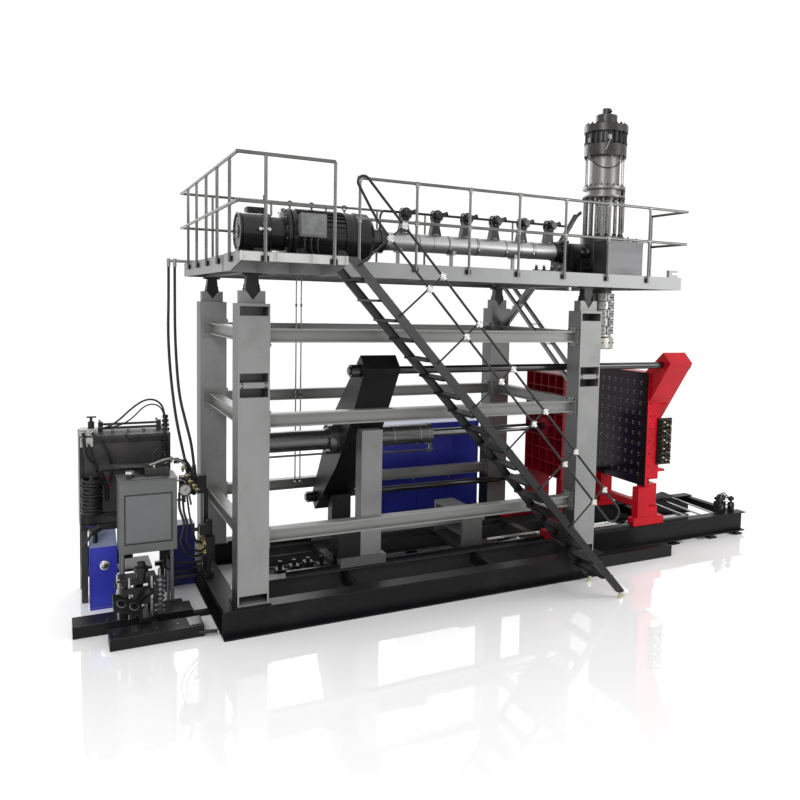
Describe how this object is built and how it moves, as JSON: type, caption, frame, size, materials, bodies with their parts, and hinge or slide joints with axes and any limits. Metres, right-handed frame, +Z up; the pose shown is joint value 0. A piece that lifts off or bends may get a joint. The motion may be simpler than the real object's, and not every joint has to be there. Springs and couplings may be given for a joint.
{
  "type": "blow moulding machine",
  "caption": "Accumulator-head extrusion blow moulding machine: gantry with platform and stair, extruder and head on top, sliding tie-bar clamp on a bed below.",
  "frame": {"origin": "on the floor, under the outer corner of the front left column", "axes": "+X along the extruder towards the head, +Y from the stair side to the rear, +Z up"},
  "size_m": [11.36, 4.975, 7.65],
  "materials": {
    "structure_grey": "satin grey paint on rolled steel",
    "base_black": "satin black paint",
    "beam_grey": "satin grey paint",
    "platform_grey": "satin grey paint",
    "deck_plate": "raised-pattern steel plate",
    "rail_steel": "brushed tube",
    "machined_steel": "ground steel",
    "bar_dark": "dark ground steel",
    "yoke_black": "satin black paint",
    "platen_red": "satin dark red paint",
    "motor_black": "glossy black paint",
    "stair_black": "satin black paint",
    "rail_black": "satin black paint",
    "shroud": "sheet steel",
    "barrel_steel": "turned steel",
    "blower": "satin black paint",
    "head_steel": "turned steel",
    "heater_band": "sheet steel bands",
    "manifold_red": "satin dark red paint",
    "cabinet_grey": "textured grey paint",
    "cabinet_blue": "satin blue paint",
    "tank_dark": "satin dark grey paint",
    "hose_rubber": "matt",
    "castor_tyre": "matt"
  },
  "bodies": {
    "frame": {"barrel_blowers": "blower", "barrel_shrouds": "shroud", "barrel_stands": "beam_grey", "bed_rails": "machined_steel", "blow_unit": "tank_dark", "clamp_bed": "base_black", "column_heads": "structure_grey", "columns": "structure_grey", "deck_plates": "deck_plate", "die_heaters": "heater_band", "die_ring": "machined_steel", "drive_motor": "motor_black", "extruder_barrel": "barrel_steel", "feed_manifold": "tank_dark", "gantry_base": "base_black", "gantry_beams": "beam_grey", "guardrails": "rail_steel", "handrail_posts": "rail_black", "head_adaptor": "barrel_steel", "head_body": "head_steel", "head_cabinet": "cabinet_grey", "head_tie_rods": "machined_steel", "hose_arch_high": "hose_rubber", "hose_arch_low": "hose_rubber", "hose_long_front": "hose_rubber", "hose_long_rear": "hose_rubber", "injection_cylinder": "head_steel", "motor_housings": "motor_black", "oil_box": "cabinet_grey", "platform_frame": "platform_grey", "platform_mounts": "base_black", "post_clamps": "rail_black", "pump_box": "cabinet_blue", "rear_cabinet": "cabinet_blue", "side_tank": "tank_dark", "stair_handrail": "rail_black", "stair_stringers": "stair_black", "stair_treads": "deck_plate", "sync_block": "yoke_black", "terminal_box": "motor_black", "unit_skid": "base_black"},
    "outer_clamp": {"rear_yoke": "yoke_black", "tie_bars": "bar_dark", "right_platen": "platen_red", "outer_shoes": "platen_red", "outer_rack": "structure_grey", "clamp_cylinder": "bar_dark", "platen_manifold": "manifold_red"},
    "inner_clamp": {"left_platen": "platen_red", "left_carriage": "platen_red", "clamp_rod": "machined_steel"},
    "pinion": {"sync_pinion": "machined_steel"},
    "injection": {"injection_rod": "machined_steel"},
    "core": {"die_core": "head_steel"},
    "screw": {"extruder_screw": "machined_steel"},
    "castor_front": {"castor_fork_front": "machined_steel"},
    "castor_rear": {"castor_fork_rear": "machined_steel"},
    "wheel_front": {"castor_wheel_front": "castor_tyre"},
    "wheel_rear": {"castor_wheel_rear": "castor_tyre"},
    "blow": {"blow_pin": "machined_steel"}
  },
  "joints": [
    {"name": "outer_slide", "type": "slide", "parent": "frame", "child": "outer_clamp", "axis": [-1, 0, 0], "range_m": [0, 0.35]},
    {"name": "inner_slide", "type": "slide", "parent": "frame", "child": "inner_clamp", "axis": [1, 0, 0], "range_m": [0, 0.35]},
    {"name": "pinion_spin", "type": "hinge", "parent": "frame", "child": "pinion", "pos_m": [3.825, 1.5275, 0.69], "axis": [0, 0, 1], "range_deg": [-287, 0]},
    {"name": "injection_slide", "type": "slide", "parent": "frame", "child": "injection", "axis": [0, 0, -1], "range_m": [0, 0.3]},
    {"name": "core_slide", "type": "slide", "parent": "frame", "child": "core", "axis": [0, 0, -1], "range_m": [0, 0.03]},
    {"name": "screw_spin", "type": "hinge", "parent": "frame", "child": "screw", "pos_m": [2.25, 1.5275, 5.13], "axis": [1, 0, 0], "continuous": true},
    {"name": "castor_front_swivel", "type": "hinge", "parent": "frame", "child": "castor_front", "pos_m": [5.2463, -0.9185, 0.09], "axis": [0, 0, 1], "continuous": true},
    {"name": "castor_rear_swivel", "type": "hinge", "parent": "frame", "child": "castor_rear", "pos_m": [5.2463, -0.1635, 0.09], "axis": [0, 0, 1], "continuous": true},
    {"name": "wheel_front_spin", "type": "hinge", "parent": "castor_front", "child": "wheel_front", "pos_m": [5.2643, -0.9185, 0.038], "axis": [0, 1, 0], "continuous": true},
    {"name": "wheel_rear_spin", "type": "hinge", "parent": "castor_rear", "child": "wheel_rear", "pos_m": [5.2643, -0.1635, 0.038], "axis": [0, 1, 0], "continuous": true},
    {"name": "blow_pin_slide", "type": "slide", "parent": "frame", "child": "blow", "axis": [0, 0, 1], "range_m": [0, 0.1]}
  ],
  "couplings": [
    {"joint": "inner_slide", "follows": "outer_slide", "ratio": 1},
    {"joint": "pinion_spin", "follows": "outer_slide", "rad_per_m": -14.286}
  ]
}
